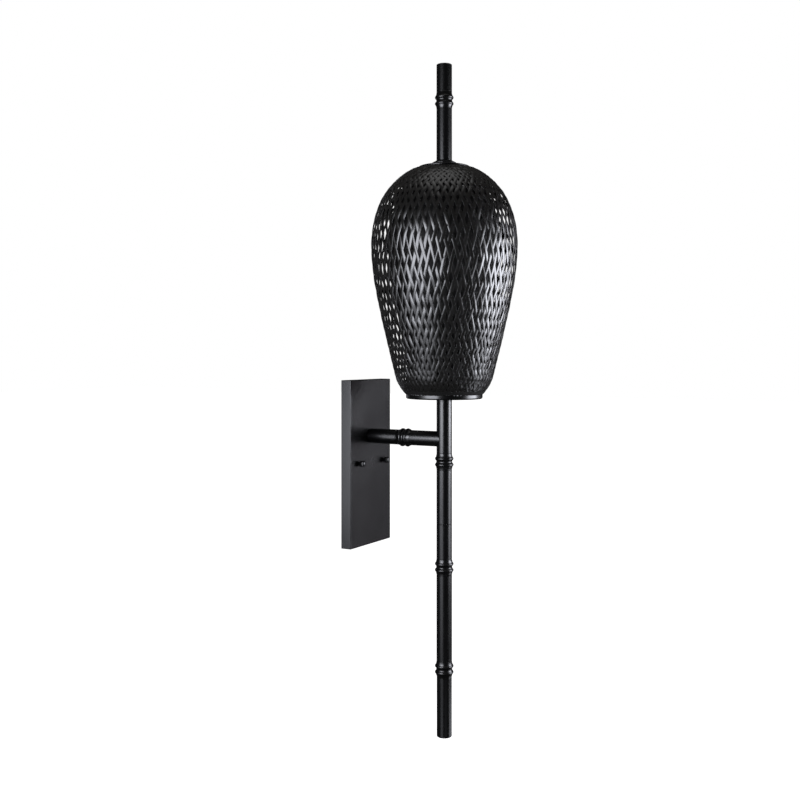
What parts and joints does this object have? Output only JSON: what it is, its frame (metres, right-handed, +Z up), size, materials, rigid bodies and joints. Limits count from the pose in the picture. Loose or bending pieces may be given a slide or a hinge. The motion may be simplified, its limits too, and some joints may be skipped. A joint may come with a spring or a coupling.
{
  "type": "torch wall sconce",
  "caption": "Torch-shaped wall light: tall wall plate, short arm, slim bamboo-style metal pole and a double woven egg-shaped shade that lifts off over candle bulbs.",
  "frame": {"origin": "centre of the mounting strap's back face, in the plane of the wall, at the middle of the wall plate", "axes": "+Y points into the wall and -Y into the room, +Z is up along the pole, +X is to the right as seen from the room"},
  "size_m": [0.2612, 0.3041, 1.1973],
  "materials": {
    "black_paint": "satin black powder coat",
    "black_rattan": "black stained and lacquered split-cane strips",
    "zinc_steel": "bright zinc plate",
    "green_screw": "green-dyed steel",
    "white_plastic": "moulded nylon",
    "phenolic": "moulded phenolic",
    "brass": "bright",
    "bulb_metal": "bright nickel",
    "clear_glass": "clear",
    "black_jacket": "matt jacket",
    "green_jacket": "matt insulation"
  },
  "bodies": {
    "fixture": {"mounting_strap": "zinc_steel", "ground_screw": "green_screw", "stud_left": "zinc_steel", "stud_right": "zinc_steel", "stud_nut_left": "zinc_steel", "stud_nut_right": "zinc_steel", "wall_plate": "black_paint", "terminal_block": "white_plastic", "arm_nipple": "zinc_steel", "arm_washer": "zinc_steel", "arm_nut": "zinc_steel", "arm_tube_rear": "black_paint", "arm_node": "black_paint", "arm_tube_front": "black_paint", "hub_tube": "black_paint", "hub_bush": "zinc_steel", "hub_node": "black_paint", "fixed_tube": "black_paint", "coupler": "zinc_steel", "base_ring": "black_paint", "stem": "zinc_steel", "ring_nut": "zinc_steel", "socket_bar": "zinc_steel", "bar_nut_lower": "zinc_steel", "bar_nut_upper": "zinc_steel", "socket_left": "phenolic", "socket_right": "phenolic", "screw_shell_left": "brass", "screw_shell_right": "brass", "lead_left": "black_jacket", "lead_right": "black_jacket", "ground_wire": "green_jacket"},
    "cap_nut_left": {"cap_nut_left": "black_paint"},
    "cap_nut_right": {"cap_nut_right": "black_paint"},
    "bulb_left": {"bulb_cap_left": "bulb_metal", "bulb_glass_left": "clear_glass", "bulb_mount_left": "clear_glass"},
    "bulb_right": {"bulb_cap_right": "bulb_metal", "bulb_glass_right": "clear_glass", "bulb_mount_right": "clear_glass"},
    "shade": {"outer_shade": "black_rattan", "inner_shade": "black_rattan", "base_hoop": "black_paint", "crown_plate": "black_paint", "crown_cover": "black_paint"},
    "cap": {"top_cap": "black_paint"},
    "upper_pole": {"upper_insert": "zinc_steel", "upper_tube": "black_paint", "upper_node": "black_paint", "upper_tip_tube": "black_paint", "upper_end_plug": "black_paint"},
    "lower_pole": {"lower_insert": "zinc_steel", "lower_tube_top": "black_paint", "lower_node": "black_paint", "lower_tube_middle": "black_paint", "foot_node": "black_paint", "lower_tube_bottom": "black_paint", "bottom_plug": "black_paint"}
  },
  "joints": [
    {"name": "cap_nut_left_turn", "type": "hinge", "parent": "fixture", "child": "cap_nut_left", "pos_m": [-0.0425, -0.0208, 0], "axis": [0, -1, 0], "continuous": true},
    {"name": "cap_nut_right_turn", "type": "hinge", "parent": "fixture", "child": "cap_nut_right", "pos_m": [0.0425, -0.0208, 0], "axis": [0, -1, 0], "continuous": true},
    {"name": "bulb_left_turn", "type": "hinge", "parent": "fixture", "child": "bulb_left", "pos_m": [-0.0275, -0.1735, 0.1833], "axis": [0, 0, 1], "continuous": true},
    {"name": "bulb_right_turn", "type": "hinge", "parent": "fixture", "child": "bulb_right", "pos_m": [0.0275, -0.1735, 0.1833], "axis": [0, 0, 1], "continuous": true},
    {"name": "shade_lift", "type": "slide", "parent": "fixture", "child": "shade", "axis": [0, 0, 1], "range_m": [0, 0.44]},
    {"name": "cap_lift", "type": "slide", "parent": "shade", "child": "cap", "axis": [0, 0, 1], "range_m": [0, 0.03]},
    {"name": "upper_pole_turn", "type": "hinge", "parent": "cap", "child": "upper_pole", "pos_m": [0, -0.1735, 0.5447], "axis": [0, 0, 1], "continuous": true},
    {"name": "lower_pole_turn", "type": "hinge", "parent": "fixture", "child": "lower_pole", "pos_m": [0, -0.1735, -0.103], "axis": [0, 0, 1], "continuous": true}
  ]
}
